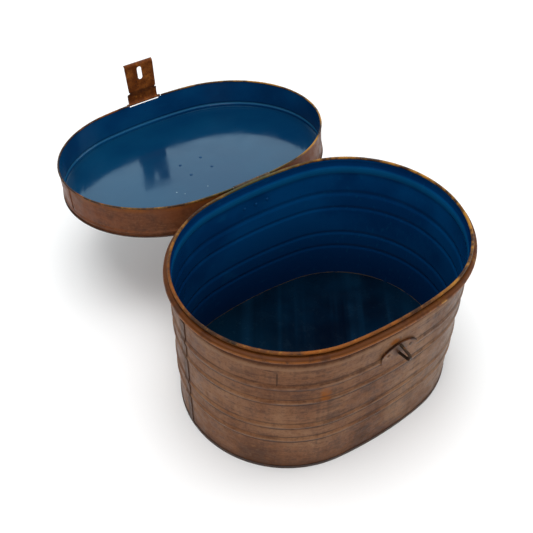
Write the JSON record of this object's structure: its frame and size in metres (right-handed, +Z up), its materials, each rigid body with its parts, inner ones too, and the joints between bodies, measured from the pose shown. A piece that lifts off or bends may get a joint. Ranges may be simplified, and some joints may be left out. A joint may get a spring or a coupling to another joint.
{
  "type": "lidded tinplate travel box",
  "caption": "Oval tinplate hat and travel box with swaged ridges, a rear hinged lid, a slotted hasp over a staple, and a carrying handle on the lid.",
  "frame": {"origin": "middle of the oval base where it stands on the floor", "axes": "+X along the oval to the right seen from the front, +Y from the hasp side to the hinge side, +Z up"},
  "size_m": [0.4152, 0.6587, 0.2547],
  "materials": {
    "japanned_brown": "aged brown japanning outside, glossy blue inside, orange worn edges",
    "japanned_blue": "glossy dark blue enamel",
    "worn_edge": "worn orange brown, bright where rubbed",
    "rusted_steel": "dark rusty steel, dull",
    "dark_iron": "dark brown iron, dull"
  },
  "bodies": {
    "box": {"wall_front": "japanned_brown", "wall_rear": "japanned_brown", "seam_left": "japanned_brown", "seam_right": "japanned_brown", "base_panel": "japanned_blue", "base_seam": "japanned_brown", "collar": "japanned_blue", "rim_wire": "worn_edge", "hinge_leaf_body": "dark_iron", "hinge_pin": "rusted_steel", "hinge_rivets_body": "dark_iron", "staple_plate": "japanned_brown", "staple": "dark_iron", "staple_rivets": "dark_iron", "staple_washer": "rusted_steel"},
    "lid": {"lid_skirt": "japanned_brown", "lid_panel": "japanned_blue", "lid_seam_roll": "japanned_brown", "lid_wire": "worn_edge", "lid_lap_seam": "japanned_brown", "hinge_leaf_lid": "dark_iron", "hinge_rivets_lid": "dark_iron", "hasp_pin": "rusted_steel", "hasp_ears": "japanned_brown", "handle_straps": "dark_iron", "handle_rivets": "dark_iron"},
    "hasp": {"hasp": "japanned_brown"},
    "bail": {"handle_bail": "dark_iron"}
  },
  "joints": [
    {"name": "lid_hinge", "type": "hinge", "parent": "box", "child": "lid", "pos_m": [0, 0.1612, 0.2263], "axis": [1, 0, 0], "range_deg": [0, 186.3]},
    {"name": "hasp_hinge", "type": "hinge", "parent": "lid", "child": "hasp", "pos_m": [0, 0.4776, 0.18704], "axis": [-1, 0, 0], "range_deg": [0, 150]},
    {"name": "handle_swing", "type": "hinge", "parent": "lid", "child": "bail", "pos_m": [0, 0.31514, 0.15166], "axis": [1, 0, 0], "range_deg": [-80, 80]}
  ]
}
